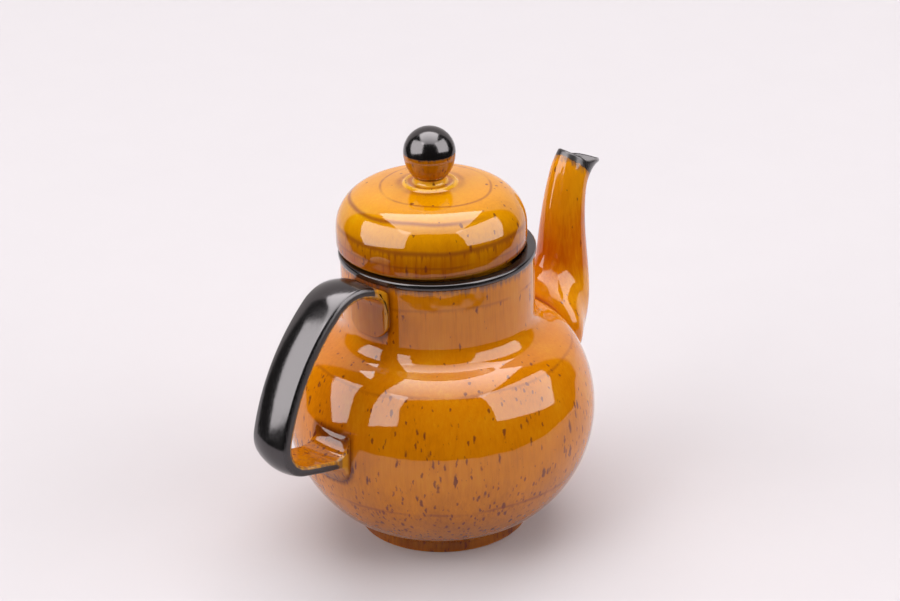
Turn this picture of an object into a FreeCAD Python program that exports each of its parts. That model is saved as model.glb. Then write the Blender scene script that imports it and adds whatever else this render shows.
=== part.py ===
import FreeCAD, Part
import math
import os
import Sketcher

# A glazed stoneware teapot: a cast pot with a spout and a strap handle luted on,
# and a loose lid with a ball knob. Millimetres, +Z up, spout towards +X,
# handle towards -X, origin on the pot's axis in the plane of the foot ring.

doc = FreeCAD.newDocument("teapot")
sheet = doc.addObject("Spreadsheet::Sheet", "Sizes")

# Driving sizes
SIZES = {
    # pot
    "belly_radius": 75.0,      # widest radius of the pot
    "belly_height": 60.7,      # height of the widest level
    "belly_curve": 62.0,       # radius of the belly's outline
    "shoulder_curve": 24.0,    # tighter radius of the shoulder's outline
    "shoulder_angle": 28.5,    # where the shoulder takes over, degrees above the widest level
    "neck_fillet": 10.7,       # hollow between shoulder and neck
    "neck_radius": 46.4,       # outside of the straight neck
    "neck_length": 32.8,       # straight neck up to the rim
    "wall": 4.5,               # wall of the pot
    "foot_radius": 41.8,       # outside of the foot ring
    "foot_width": 6.0,         # width of the foot ring
    "foot_recess": 3.0,        # hollow under the base, inside the foot ring
    "base": 5.5,               # thickness of the base
    "rim_proud": 0.8,          # how far the rim bead stands out from the neck
    "rim_band": 3.4,           # height of the rim bead
    "rim_round": 0.7,          # rounding of the rim bead
    # strainer holes in the wall behind the spout
    "strainer_hole": 2.5,      # radius of one hole
    "strainer_ring": 8.5,      # radius of the ring of holes
    "strainer_count": 6.0,     # holes in the ring
    "strainer_angle": 25.0,    # slope of the holes, degrees
    "strainer_reach": 40.0,    # length of the punch, through the wall and clear of it
    # lid
    "lid_radius": 45.5,        # outside of the lid
    "lid_height": 31.9,        # seat to the top of the dome
    "lid_crown": 164.0,        # radius of the nearly flat top
    "lid_shoulder": 19.8,      # radius of the lid's shoulder
    "lid_corner": 3.2,         # rounding of the lid's lower edge
    "lid_wall": 4.0,           # wall of the lid
    "seat_gap": 0.2,           # unevenness of the glazed seat
    "flange_play": 3.4,        # free play of the flange in the neck, on the radius
    "flange_wall": 3.5,        # wall of the locating flange
    "flange_depth": 9.0,       # how far the flange reaches into the neck
    "lid_shift_x": -0.6,       # the loose lid lies off the pot's axis
    "lid_shift_y": 2.8,
    # knob
    "knob_radius": 12.4,       # ball of the knob
    "knob_rise": 14.8,         # centre of the ball above the lid's top
    "knob_taper": 17.8,        # radius of the outline below the ball's widest level
    "knob_drop": 12.0,         # ball's centre down to the groove
    "knob_waist": 7.1,         # waist below the groove
    "collar_radius": 12.6,     # collar round the foot of the knob
    "collar_height": 1.7,      # collar above the lid's top
    "collar_round": 1.5,       # rounding of the collar's edge
    # handle
    "strap_width": 24.0,
    "strap_thick": 4.5,
    "strap_outer_round": 2.5,  # rounding of the long edges on the strap's outside
    "strap_inner_round": 1.2,  # rounding of the long edges on the finger side
    "crest_out": 16.8,         # centre of the crest's curve outside the neck
    "crest_drop": 0.8,         # crest below the rim
    "crest_curve": 23.0,       # outer radius of the crest
    "crest_slope": 30.0,       # rise of the strap from the neck, degrees
    "run_curve": 103.0,        # outer radius of the long run
    "corner_out": 38.8,        # outermost point of the handle outside the belly
    "corner_rise": 20.9,       # centre of the lower corner above the widest level
    "corner_curve": 17.0,      # outer radius of the lower corner
    "corner_slope": 14.0,      # fall of the lower limb towards the belly, degrees
    "pad_thick": 2.2,          # how far the end pads stand out from the pot
    "upper_pad_drop": 30.0,    # lower end of the upper pad below the rim
    "lower_pad_up": 15.0,      # upper end of the lower pad above the widest level
    "lower_pad_down": 12.0,    # lower end of the lower pad below the widest level
    "pad_round": 8.0,          # rounding of the pads' corners
    "pad_cove": 8.0,           # hollow between the strap's inside and a pad
    "pad_under": 4.0,          # hollow between the lower limb's underside and its pad
    # spout: its middle line is a curve from inside the belly to the mouth
    "spout_inset": 17.3,       # start of the middle line inside the widest radius
    "spout_start_rise": 4.8,   # start above the widest level
    "spout_start_angle": 15.7, # slope of the middle line at the start, degrees
    "spout_start_pull": 51.1,  # how long the start holds its slope
    "mouth_out": 23.4,         # middle of the mouth outside the widest radius
    "mouth_rise": 101.0,       # middle of the mouth above the widest level
    "mouth_angle": 66.0,       # slope of the middle line at the mouth, degrees
    "mouth_pull": 52.0,        # how long the mouth holds its slope
    "spout_root_radius": 21.4, # outer radius at the start
    "spout_mid_radius": 13.0,  # pull of the taper between root and lip
    "spout_lip_radius": 9.0,   # outer radius at the lip
    "beak": 14.1,              # how far the pouring lip's tip stands out past the lip's radius
    "lip_dip": 0.5,            # how far the lip's rim sags between its back and its tip
    "spout_root_wall": 4.0,
    "spout_lip_wall": 2.3,
    "bury": 3.0,               # depth that luted ends reach into the pot before they are cut to it
}

# Sizes that follow from the driving ones
FOLLOWING = {
    "belly_centre": "=belly_radius - belly_curve",
    "shoulder_x": "=belly_centre + (belly_curve - shoulder_curve) * cos(shoulder_angle)",
    "shoulder_z": "=belly_height + (belly_curve - shoulder_curve) * sin(shoulder_angle)",
    "neck_start": "=shoulder_z + sqrt((shoulder_curve + neck_fillet)^2"
                  " - (neck_radius + neck_fillet - shoulder_x)^2)",
    "rim_height": "=neck_start + neck_length",
    "floor_height": "=foot_recess + base",
    "lid_seat": "=rim_height + seat_gap",
    "lid_top": "=lid_seat + lid_height",
    "flange_radius": "=neck_radius - wall - flange_play",
    "knob_centre": "=lid_top + knob_rise",
    "crest_x": "=neck_radius + crest_out",
    "crest_z": "=rim_height - crest_drop - crest_curve",
    "corner_x": "=belly_radius + corner_out - corner_curve",
    "corner_z": "=belly_height + corner_rise",
    "upper_pad_end": "=rim_height - upper_pad_drop",
    "root_x": "=belly_radius - spout_inset",
    "root_z": "=belly_height + spout_start_rise",
    "bend_x": "=root_x + spout_start_pull * cos(spout_start_angle)",
    "bend_z": "=root_z + spout_start_pull * sin(spout_start_angle)",
    "mouth_x": "=belly_radius + mouth_out",
    "mouth_z": "=belly_height + mouth_rise",
    "climb_x": "=mouth_x - mouth_pull * cos(mouth_angle)",
    "climb_z": "=mouth_z - mouth_pull * sin(mouth_angle)",
}

for row, (alias, value) in enumerate(list(SIZES.items()) + list(FOLLOWING.items()), start=1):
    sheet.set(f"A{row}", alias)
    sheet.set(f"B{row}", str(value))
    sheet.setAlias(f"B{row}", alias)
doc.recompute()


def size(alias):
    """The present value of one cell of the sheet."""
    return float(getattr(sheet, alias))


# Sketch helpers: an outline is a list of lines and arcs, drawn in turn
def new_body(label):
    return doc.addObject("PartDesign::Body", label)


def new_sketch(body, name, role):
    sketch = body.newObject("Sketcher::SketchObject", name)
    plane = next(f for f in body.Origin.OriginFeatures if f.Role == role)
    sketch.AttachmentSupport = [(plane, "")]
    sketch.MapMode = "FlatFace"
    return sketch


def line(start, end):
    return {"curve": Part.LineSegment(FreeCAD.Vector(*start, 0), FreeCAD.Vector(*end, 0)), "ends": (1, 2)}


def arc(centre, radius, first, last):
    """An arc drawn from one angle to another, in degrees, either way round."""
    low, high = sorted((math.radians(first), math.radians(last)))
    circle = Part.Circle(FreeCAD.Vector(*centre, 0), FreeCAD.Vector(0, 0, 1), radius)
    return {"curve": Part.ArcOfCircle(circle, low, high), "ends": (1, 2) if last > first else (2, 1)}


def draw(sketch, pieces, smooth):
    """Draws a closed outline; smooth lists the joints, by their first piece, that are tangent."""
    for piece in pieces:
        sketch.addGeometry(piece["curve"], False)
    for index, piece in enumerate(pieces):
        follower = (index + 1) % len(pieces)
        kind = "Tangent" if index in smooth else "Coincident"
        ends = (index, piece["ends"][1], follower, pieces[follower]["ends"][0])
        sketch.addConstraint(Sketcher.Constraint(kind, *ends))


def bind(sketch, kind, where, rule):
    """Adds one dimension, with its present value, and ties it to the sheet."""
    value = float(sketch.evalExpression(rule))
    index = sketch.addConstraint(Sketcher.Constraint(kind, *where, value))
    sketch.setExpression(f"Constraints[{index}]", rule)


def flat(sketch, *pieces):
    for piece in pieces:
        sketch.addConstraint(Sketcher.Constraint("Horizontal", piece))


def upright(sketch, *pieces):
    for piece in pieces:
        sketch.addConstraint(Sketcher.Constraint("Vertical", piece))


def revolve(body, sketch, name, kind="Revolution"):
    """Turns a sketch about the upright axis, to add a solid or, as a Groove, to cut one."""
    turned = body.newObject(f"PartDesign::{kind}", name)
    turned.Profile = sketch
    turned.ReferenceAxis = (sketch, ["V_Axis"])
    turned.Angle = 360.0
    doc.recompute()
    return turned


# Pot: belly, shoulder and neck as one turned outline
pot = new_body("pot_body")
belly = (size("belly_centre"), size("belly_height"))
shoulder = (size("shoulder_x"), size("shoulder_z"))
hollow = (size("neck_radius") + size("neck_fillet"), size("neck_start"))
neck_turn = math.degrees(math.atan2(hollow[1] - shoulder[1], hollow[0] - shoulder[0]))


def pot_wall(inset, low, high):
    """Belly, shoulder, hollow and neck at some depth inside the pot's outside, between two radii and heights."""
    curve = size("belly_curve") - inset
    neck = size("neck_radius") - inset
    start = math.degrees(math.atan2(low[1] - belly[1], low[0] - belly[0]))
    return [
        arc(belly, curve, start, size("shoulder_angle")),
        arc(shoulder, size("shoulder_curve") - inset, size("shoulder_angle"), neck_turn),
        arc(hollow, size("neck_fillet") + inset, neck_turn + 180, 180),
        line((neck, hollow[1]), (neck, high)),
        line((neck, high), (0, high)),
    ]


def bind_pot_wall(sketch, first, inset, high):
    """Ties the five pieces of a pot wall, counted from the first, to the sheet."""
    bind(sketch, "DistanceX", (-1, 1, first, 3), "Sizes.belly_centre")
    bind(sketch, "DistanceY", (-1, 1, first, 3), "Sizes.belly_height")
    bind(sketch, "Radius", (first,), f"Sizes.belly_curve - {inset}")
    bind(sketch, "DistanceY", (-1, 1, first + 1, 3), "Sizes.shoulder_z")
    bind(sketch, "Radius", (first + 1,), f"Sizes.shoulder_curve - {inset}")
    bind(sketch, "Radius", (first + 2,), f"Sizes.neck_fillet + {inset}")
    bind(sketch, "DistanceX", (-1, 1, first + 3, 1), f"Sizes.neck_radius - {inset}")
    bind(sketch, "DistanceY", (-1, 1, first + 4, 1), high)
    upright(sketch, first + 3)
    flat(sketch, first + 4)


foot = size("foot_radius")
foot_top = belly[1] - math.sqrt(size("belly_curve") ** 2 - (foot - belly[0]) ** 2)
rim_height = size("rim_height")
sketch = new_sketch(pot, "pot_outline", "XZ_Plane")
draw(
    sketch,
    [line((0, 0), (foot, 0)), line((foot, 0), (foot, foot_top))]
    + pot_wall(0, (foot, foot_top), rim_height)
    + [line((0, rim_height), (0, 0))],
    smooth=(2, 3, 4),
)
sketch.addConstraint(Sketcher.Constraint("Coincident", 0, 1, -1, 1))
flat(sketch, 0)
upright(sketch, 1, 7)
bind(sketch, "DistanceX", (-1, 1, 0, 2), "Sizes.foot_radius")
bind_pot_wall(sketch, 2, "0", "Sizes.rim_height")
pot_outside = revolve(pot, sketch, "pot_outside")

# Rim: a rounded bead round the top of the neck
rim_in = size("neck_radius") - size("wall") / 2
rim_out = size("neck_radius") + size("rim_proud")
rim_low = rim_height - size("rim_band")
rim_round = size("rim_round")
sketch = new_sketch(pot, "rim_outline", "XZ_Plane")
draw(
    sketch,
    [
        line((rim_in, rim_low), (rim_out - rim_round, rim_low)),
        arc((rim_out - rim_round, rim_low + rim_round), rim_round, -90, 0),
        line((rim_out, rim_low + rim_round), (rim_out, rim_height - rim_round)),
        arc((rim_out - rim_round, rim_height - rim_round), rim_round, 0, 90),
        line((rim_out - rim_round, rim_height), (rim_in, rim_height)),
        line((rim_in, rim_height), (rim_in, rim_low)),
    ],
    smooth=(0, 1, 2, 3),
)
flat(sketch, 0, 4)
upright(sketch, 2, 5)
bind(sketch, "Radius", (1,), "Sizes.rim_round")
bind(sketch, "Radius", (3,), "Sizes.rim_round")
bind(sketch, "DistanceX", (-1, 1, 5, 1), "Sizes.neck_radius - Sizes.wall / 2")
bind(sketch, "DistanceX", (-1, 1, 2, 1), "Sizes.neck_radius + Sizes.rim_proud")
bind(sketch, "DistanceY", (-1, 1, 4, 1), "Sizes.rim_height")
bind(sketch, "DistanceY", (0, 1, 5, 1), "Sizes.rim_band")
revolve(pot, sketch, "rim_bead")

# Inside of the pot, one wall in from the outside and open at the neck
inside_curve = size("belly_curve") - size("wall")
floor_height = size("floor_height")
floor_radius = belly[0] + math.sqrt(inside_curve ** 2 - (belly[1] - floor_height) ** 2)
above_rim = rim_height + size("bury")
sketch = new_sketch(pot, "inside_outline", "XZ_Plane")
draw(
    sketch,
    [line((0, floor_height), (floor_radius, floor_height))]
    + pot_wall(size("wall"), (floor_radius, floor_height), above_rim)
    + [line((0, above_rim), (0, floor_height))],
    smooth=(1, 2, 3),
)
sketch.addConstraint(Sketcher.Constraint("PointOnObject", 0, 1, -2))
flat(sketch, 0)
upright(sketch, 6)
bind(sketch, "DistanceY", (-1, 1, 0, 1), "Sizes.floor_height")
bind_pot_wall(sketch, 1, "Sizes.wall", "Sizes.rim_height + Sizes.bury")
revolve(pot, sketch, "inside", "Groove")

# Foot: the base is hollowed inside the foot ring
sketch = new_sketch(pot, "recess_outline", "XY_Plane")
sketch.addGeometry(Part.Circle(FreeCAD.Vector(0, 0, 0), FreeCAD.Vector(0, 0, 1), foot / 2), False)
sketch.addConstraint(Sketcher.Constraint("Coincident", 0, 3, -1, 1))
bind(sketch, "Radius", (0,), "Sizes.foot_radius - Sizes.foot_width")
recess = pot.newObject("PartDesign::Pocket", "foot_recess")
recess.Profile = sketch
recess.Reversed = True
recess.setExpression("Length", "Sizes.foot_recess")
doc.recompute()


# Strainer: holes pierced through the wall where the spout goes on
def pierce(name, offset):
    """One round hole along the spout's root, off its middle by a named size or none."""
    plan = new_sketch(pot, f"{name}_outline", "XY_Plane")
    tilt = FreeCAD.Rotation(FreeCAD.Vector(0, 1, 0), 90 - size("strainer_angle"))
    plan.AttachmentOffset = FreeCAD.Placement(FreeCAD.Vector(size("root_x"), 0, size("root_z")), tilt)
    plan.setExpression("AttachmentOffset.Base.x", "Sizes.root_x")
    plan.setExpression("AttachmentOffset.Base.z", "Sizes.root_z")
    plan.setExpression("AttachmentOffset.Rotation.Angle", "90 - Sizes.strainer_angle")
    middle = FreeCAD.Vector(size(offset) if offset else 0, 0, 0)
    plan.addGeometry(Part.Circle(middle, FreeCAD.Vector(0, 0, 1), size("strainer_hole")), False)
    bind(plan, "Radius", (0,), "Sizes.strainer_hole")
    plan.addConstraint(Sketcher.Constraint("PointOnObject", 0, 3, -1))
    bind(plan, "DistanceX", (-1, 1, 0, 3), f"Sizes.{offset}" if offset else "0")
    hole = pot.newObject("PartDesign::Pocket", name)
    hole.Profile = plan
    hole.Reversed = True
    hole.setExpression("Length", "Sizes.strainer_reach")
    doc.recompute()
    return plan, hole


pierce("strainer_middle", None)
plan, hole = pierce("strainer_side", "strainer_ring")
ring = pot.newObject("PartDesign::PolarPattern", "strainer_holes")
ring.Originals = [hole]
ring.Axis = (plan, ["N_Axis"])
ring.Angle = 360.0
ring.setExpression("Occurrences", "Sizes.strainer_count")
pot.Tip = ring
doc.recompute()

# Lid: a hollow cap with a nearly flat top, tight shoulder and straight side
lid = new_body("lid")
lid_seat = size("lid_seat")
lid_top = size("lid_top")
lid_side = size("lid_radius")
lid_corner = size("lid_corner")
lid_crown = (0, lid_top - size("lid_crown"))
lid_turn = lid_side - size("lid_shoulder")
lid_bend = lid_crown[1] + math.sqrt((size("lid_crown") - size("lid_shoulder")) ** 2 - lid_turn ** 2)
lid_angle = math.degrees(math.atan2(lid_bend - lid_crown[1], lid_turn))


def lid_cap(inset):
    """Shoulder and crown at some depth inside the lid's outside."""
    return [
        arc((lid_turn, lid_bend), size("lid_shoulder") - inset, 0, lid_angle),
        arc(lid_crown, size("lid_crown") - inset, lid_angle, 90),
    ]


def bind_lid_cap(sketch, first, inset):
    """Ties the side, shoulder and crown, counted from the side, to the sheet."""
    upright(sketch, first)
    bind(sketch, "DistanceX", (-1, 1, first, 1), f"Sizes.lid_radius - {inset}")
    bind(sketch, "Radius", (first + 1,), f"Sizes.lid_shoulder - {inset}")
    bind(sketch, "Radius", (first + 2,), f"Sizes.lid_crown - {inset}")
    sketch.addConstraint(Sketcher.Constraint("PointOnObject", first + 2, 3, -2))
    bind(sketch, "DistanceY", (-1, 1, first + 3, 1), f"Sizes.lid_top - {inset}")
    sketch.addConstraint(Sketcher.Constraint("PointOnObject", first + 3, 1, -2))
    upright(sketch, first + 3)


sketch = new_sketch(lid, "lid_outline", "XZ_Plane")
draw(
    sketch,
    [
        line((0, lid_seat), (lid_side - lid_corner, lid_seat)),
        arc((lid_side - lid_corner, lid_seat + lid_corner), lid_corner, -90, 0),
        line((lid_side, lid_seat + lid_corner), (lid_side, lid_bend)),
    ]
    + lid_cap(0)
    + [line((0, lid_top), (0, lid_seat))],
    smooth=(0, 1, 2, 3),
)
flat(sketch, 0)
bind(sketch, "DistanceY", (-1, 1, 0, 1), "Sizes.lid_seat")
bind(sketch, "Radius", (1,), "Sizes.lid_corner")
bind_lid_cap(sketch, 2, "0")
lid_outside = revolve(lid, sketch, "lid_outside")

# Flange: a ring under the lid that keeps it in the neck
flange_out = size("flange_radius")
flange_in = flange_out - size("flange_wall")
flange_low = lid_seat - size("flange_depth")
flange_top = lid_seat + size("lid_wall") / 2
sketch = new_sketch(lid, "flange_outline", "XZ_Plane")
draw(
    sketch,
    [
        line((flange_in, flange_low), (flange_out, flange_low)),
        line((flange_out, flange_low), (flange_out, flange_top)),
        line((flange_out, flange_top), (flange_in, flange_top)),
        line((flange_in, flange_top), (flange_in, flange_low)),
    ],
    smooth=(),
)
flat(sketch, 0, 2)
upright(sketch, 1, 3)
bind(sketch, "DistanceX", (-1, 1, 1, 1), "Sizes.flange_radius")
bind(sketch, "DistanceX", (0, 1, 0, 2), "Sizes.flange_wall")
bind(sketch, "DistanceY", (-1, 1, 0, 1), "Sizes.lid_seat - Sizes.flange_depth")
bind(sketch, "DistanceY", (-1, 1, 2, 1), "Sizes.lid_seat + Sizes.lid_wall / 2")
revolve(lid, sketch, "flange")

# Inside of the lid, one wall in from the outside and open through the flange
lid_wall = size("lid_wall")
below_flange = flange_low - size("bury")
sketch = new_sketch(lid, "lid_inside_outline", "XZ_Plane")
draw(
    sketch,
    [
        line((0, below_flange), (flange_in, below_flange)),
        line((flange_in, below_flange), (flange_in, lid_seat + lid_wall)),
        line((flange_in, lid_seat + lid_wall), (lid_side - lid_wall, lid_seat + lid_wall)),
        line((lid_side - lid_wall, lid_seat + lid_wall), (lid_side - lid_wall, lid_bend)),
    ]
    + lid_cap(lid_wall)
    + [line((0, lid_top - lid_wall), (0, below_flange))],
    smooth=(3, 4),
)
flat(sketch, 0, 2)
upright(sketch, 1)
bind(sketch, "DistanceY", (-1, 1, 0, 1), "Sizes.lid_seat - Sizes.flange_depth - Sizes.bury")
bind(sketch, "DistanceX", (-1, 1, 1, 1), "Sizes.flange_radius - Sizes.flange_wall")
bind(sketch, "DistanceY", (-1, 1, 2, 1), "Sizes.lid_seat + Sizes.lid_wall")
bind_lid_cap(sketch, 3, "Sizes.lid_wall")
revolve(lid, sketch, "lid_inside", "Groove")

# Knob: a ball that tapers to a grooved waist on a rounded collar
knob = new_body("knob_turned")
ball = size("knob_radius")
ball_height = size("knob_centre")
taper = size("knob_taper")
waist = size("knob_waist")
groove_height = ball_height - size("knob_drop")
taper_angle = math.degrees(math.asin(size("knob_drop") / taper))
taper_end = ball - taper + taper * math.cos(math.radians(taper_angle))
collar = size("collar_radius")
collar_round = size("collar_round")
collar_top = lid_top + size("collar_height")
knob_low = lid_top - size("bury")
sketch = new_sketch(knob, "knob_outline", "XZ_Plane")
draw(
    sketch,
    [
        arc((0, ball_height), ball, 90, 0),
        arc((ball - taper, ball_height), taper, 0, -taper_angle),
        line((taper_end, groove_height), (waist, groove_height)),
        line((waist, groove_height), (waist, collar_top)),
        line((waist, collar_top), (collar - collar_round, collar_top)),
        arc((collar - collar_round, collar_top - collar_round), collar_round, 90, 0),
        line((collar, collar_top - collar_round), (collar, knob_low)),
        line((collar, knob_low), (0, knob_low)),
        line((0, knob_low), (0, ball_height + ball)),
    ],
    smooth=(0, 4, 5),
)
sketch.addConstraint(Sketcher.Constraint("PointOnObject", 0, 3, -2))
sketch.addConstraint(Sketcher.Constraint("Horizontal", 0, 3, 1, 3))
sketch.addConstraint(Sketcher.Constraint("PointOnObject", 8, 1, -2))
flat(sketch, 2, 4, 7)
upright(sketch, 3, 6, 8)
bind(sketch, "DistanceY", (-1, 1, 0, 3), "Sizes.knob_centre")
bind(sketch, "Radius", (0,), "Sizes.knob_radius")
bind(sketch, "Radius", (1,), "Sizes.knob_taper")
bind(sketch, "DistanceY", (2, 1, 0, 3), "Sizes.knob_drop")
bind(sketch, "DistanceX", (-1, 1, 3, 1), "Sizes.knob_waist")
bind(sketch, "DistanceY", (-1, 1, 4, 1), "Sizes.lid_top + Sizes.collar_height")
bind(sketch, "Radius", (5,), "Sizes.collar_round")
bind(sketch, "DistanceX", (-1, 1, 6, 1), "Sizes.collar_radius")
bind(sketch, "DistanceY", (-1, 1, 7, 1), "Sizes.lid_top - Sizes.bury")
revolve(knob, sketch, "knob_solid")


# Handle: a strap drawn in side view, with its crest, long run and lower corner as tangent arcs
def meeting(first, first_reach, second, second_reach, side):
    """Where two circles cross; side 1 or -1 picks the crossing left or right of the line between them."""
    dx = second[0] - first[0]
    dz = second[1] - first[1]
    apart = math.hypot(dx, dz)
    along = (apart ** 2 + first_reach ** 2 - second_reach ** 2) / (2 * apart)
    across = side * math.sqrt(first_reach ** 2 - along ** 2)
    return (
        first[0] + (along * dx - across * dz) / apart,
        first[1] + (along * dz + across * dx) / apart,
    )


def bearing(start, end):
    return math.degrees(math.atan2(end[1] - start[1], end[0] - start[0]))


def polar(centre, radius, angle):
    return (
        centre[0] + radius * math.cos(math.radians(angle)),
        centre[1] + radius * math.sin(math.radians(angle)),
    )


def beside_line(point, angle, shift, centre, reach):
    """The point on a line, shifted sideways, that lies at a reach from a centre, on the far side from it."""
    start = polar(point, shift, angle - 90)
    toward = (math.cos(math.radians(angle)), math.sin(math.radians(angle)))
    off = (start[0] - centre[0], start[1] - centre[1])
    middle = off[0] * toward[0] + off[1] * toward[1]
    root = math.sqrt(middle ** 2 - off[0] ** 2 - off[1] ** 2 + reach ** 2)
    step = root - middle
    return (start[0] + step * toward[0], start[1] + step * toward[1])


handle = new_body("strap")
thick = size("strap_thick")
crest = (size("crest_x"), size("crest_z"))
crest_curve = size("crest_curve")
corner = (size("corner_x"), size("corner_z"))
corner_curve = size("corner_curve")
run_curve = size("run_curve")
run = meeting(crest, run_curve - crest_curve, corner, run_curve - corner_curve, -1)
crest_end = bearing(run, crest)
corner_start = bearing(run, corner)
crest_start = 90 + size("crest_slope")
fall = size("corner_slope")
corner_end = fall - 90
pad_face = size("belly_curve") + size("pad_thick")
buried = size("belly_curve") - size("bury")
neck_face = size("neck_radius") + size("pad_thick")
neck_in = size("neck_radius") - size("bury")
cove = size("pad_cove")
under = size("pad_under")
up = size("lower_pad_up")
down = size("lower_pad_down")

top_start = polar(crest, crest_curve, crest_start)
top_in = (neck_in, top_start[1] - (top_start[0] - neck_in) * math.tan(math.radians(size("crest_slope"))))
corner_out_end = polar(corner, corner_curve, corner_end)
corner_in_end = polar(corner, corner_curve - thick, corner_end)
under_centre = beside_line(corner_out_end, fall, under, belly, pad_face + under)
cove_centre = beside_line(corner_in_end, fall, -cove, belly, pad_face + cove)
low_angle = -math.degrees(math.asin(down / pad_face))
high_angle = math.degrees(math.asin(up / pad_face))
low_in = (belly[0] + math.sqrt(buried ** 2 - down ** 2), belly[1] - down)
high_in = (belly[0] + math.sqrt(buried ** 2 - up ** 2), belly[1] + up)
arch_reach = crest_curve - thick - cove
arch_across = crest[0] - neck_face - cove
arch_centre = (neck_face + cove, crest[1] + math.sqrt(arch_reach ** 2 - arch_across ** 2))
pad_end = size("upper_pad_end")

sketch = new_sketch(handle, "strap_outline", "XZ_Plane")
draw(
    sketch,
    [
        line(top_in, top_start),
        arc(crest, crest_curve, crest_start, crest_end),
        arc(run, run_curve, crest_end, corner_start),
        arc(corner, corner_curve, corner_start, corner_end),
        line(corner_out_end, polar(under_centre, under, 90 + fall)),
        arc(under_centre, under, 90 + fall, 180 + bearing(belly, under_centre)),
        arc(belly, pad_face, bearing(belly, under_centre), low_angle),
        line(polar(belly, pad_face, low_angle), low_in),
        arc(belly, buried, bearing(belly, low_in), bearing(belly, high_in)),
        line(high_in, polar(belly, pad_face, high_angle)),
        arc(belly, pad_face, high_angle, bearing(belly, cove_centre)),
        arc(cove_centre, cove, 180 + bearing(belly, cove_centre), 270 + fall),
        line(polar(cove_centre, cove, 270 + fall), corner_in_end),
        arc(corner, corner_curve - thick, corner_end, corner_start),
        arc(run, run_curve - thick, corner_start, crest_end),
        arc(crest, crest_curve - thick, crest_end, bearing(crest, arch_centre)),
        arc(arch_centre, cove, bearing(crest, arch_centre), 180),
        line((neck_face, arch_centre[1]), (neck_face, pad_end)),
        line((neck_face, pad_end), (neck_in, pad_end)),
        line((neck_in, pad_end), top_in),
    ],
    smooth=(0, 1, 2, 3, 4, 5, 10, 11, 12, 13, 14, 15, 16),
)
flat(sketch, 7, 9, 18)
upright(sketch, 17, 19)
for inner, outer in ((13, 3), (14, 2), (15, 1), (8, 6), (10, 6)):
    sketch.addConstraint(Sketcher.Constraint("Coincident", inner, 3, outer, 3))
sketch.addConstraint(Sketcher.Constraint("Parallel", 4, 12))
bind(sketch, "DistanceX", (-1, 1, 1, 3), "Sizes.crest_x")
bind(sketch, "DistanceY", (-1, 1, 1, 3), "Sizes.crest_z")
bind(sketch, "Radius", (1,), "Sizes.crest_curve")
bind(sketch, "Radius", (2,), "Sizes.run_curve")
bind(sketch, "DistanceX", (-1, 1, 3, 3), "Sizes.corner_x")
bind(sketch, "DistanceY", (-1, 1, 3, 3), "Sizes.corner_z")
bind(sketch, "Radius", (3,), "Sizes.corner_curve")
bind(sketch, "Radius", (14,), "Sizes.run_curve - Sizes.strap_thick")
bind(sketch, "DistanceX", (0, 2, 1, 3), "Sizes.crest_curve * sin(Sizes.crest_slope)")
bind(sketch, "DistanceX", (3, 3, 4, 1), "Sizes.corner_curve * sin(Sizes.corner_slope)")
bind(sketch, "Radius", (5,), "Sizes.pad_under")
bind(sketch, "DistanceX", (-1, 1, 6, 3), "Sizes.belly_centre")
bind(sketch, "DistanceY", (-1, 1, 6, 3), "Sizes.belly_height")
bind(sketch, "Radius", (6,), "Sizes.belly_curve + Sizes.pad_thick")
bind(sketch, "Radius", (8,), "Sizes.belly_curve - Sizes.bury")
sketch.addConstraint(Sketcher.Constraint("Equal", 6, 10))
bind(sketch, "DistanceY", (-1, 1, 7, 1), "Sizes.belly_height - Sizes.lower_pad_down")
bind(sketch, "DistanceY", (-1, 1, 9, 1), "Sizes.belly_height + Sizes.lower_pad_up")
bind(sketch, "Radius", (11,), "Sizes.pad_cove")
bind(sketch, "Radius", (16,), "Sizes.pad_cove")
bind(sketch, "DistanceX", (-1, 1, 17, 1), "Sizes.neck_radius + Sizes.pad_thick")
bind(sketch, "DistanceX", (-1, 1, 19, 1), "Sizes.neck_radius - Sizes.bury")
bind(sketch, "DistanceY", (-1, 1, 18, 1), "Sizes.upper_pad_end")
blank = handle.newObject("PartDesign::Pad", "strap_blank")
blank.Profile = sketch
blank.SideType = "Symmetric"
blank.setExpression("Length", "Sizes.strap_width")
doc.recompute()


def rounded(body, base, name, radius, wanted):
    """Rounds the edges of a feature that a test picks out."""
    names = [f"Edge{i}" for i, edge in enumerate(base.Shape.Edges, start=1) if wanted(edge)]
    fillet = body.newObject("PartDesign::Fillet", name)
    fillet.Base = (base, names)
    fillet.setExpression("Radius", radius)
    doc.recompute()
    return fillet


def pad_corner(edge):
    """The corners of the pads: short edges across the thickness of a pad's end."""
    box = edge.BoundBox
    level = box.ZLength < 0.01 and box.YLength < 0.01
    heights = (pad_end, belly[1] - down, belly[1] + up)
    return level and any(abs(box.ZMin - height) < 0.01 for height in heights)


pads = rounded(handle, blank, "pad_corners", "Sizes.pad_round", pad_corner)


def run_edge(radius):
    """The long run's edges with one radius; the rounding carries on along the edges that follow smoothly."""
    return lambda edge: hasattr(edge.Curve, "Radius") and abs(edge.Curve.Radius - radius) < 0.01


outer = rounded(handle, pads, "outer_edges", "Sizes.strap_outer_round", run_edge(run_curve))
rounded(handle, outer, "inner_edges", "Sizes.strap_inner_round", run_edge(run_curve - thick))
handle.Placement = FreeCAD.Placement(FreeCAD.Vector(0, 0, 0), FreeCAD.Rotation(FreeCAD.Vector(0, 0, 1), 180))

# Spout: a tube round a curved middle line, drawn out to a beak at the lip
spout = new_body("spout_tube")
STATIONS = (0.0, 0.15, 0.3, 0.45, 0.6, 0.75, 0.87, 0.94, 1.0)
BEAKED = {0.94: 0.22, 1.0: 1.0}


def blend(weights, names):
    """A weighted sum of cells."""
    return " + ".join(f"{weight:.5f} * Sizes.{name}" for weight, name in zip(weights, names))


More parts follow.
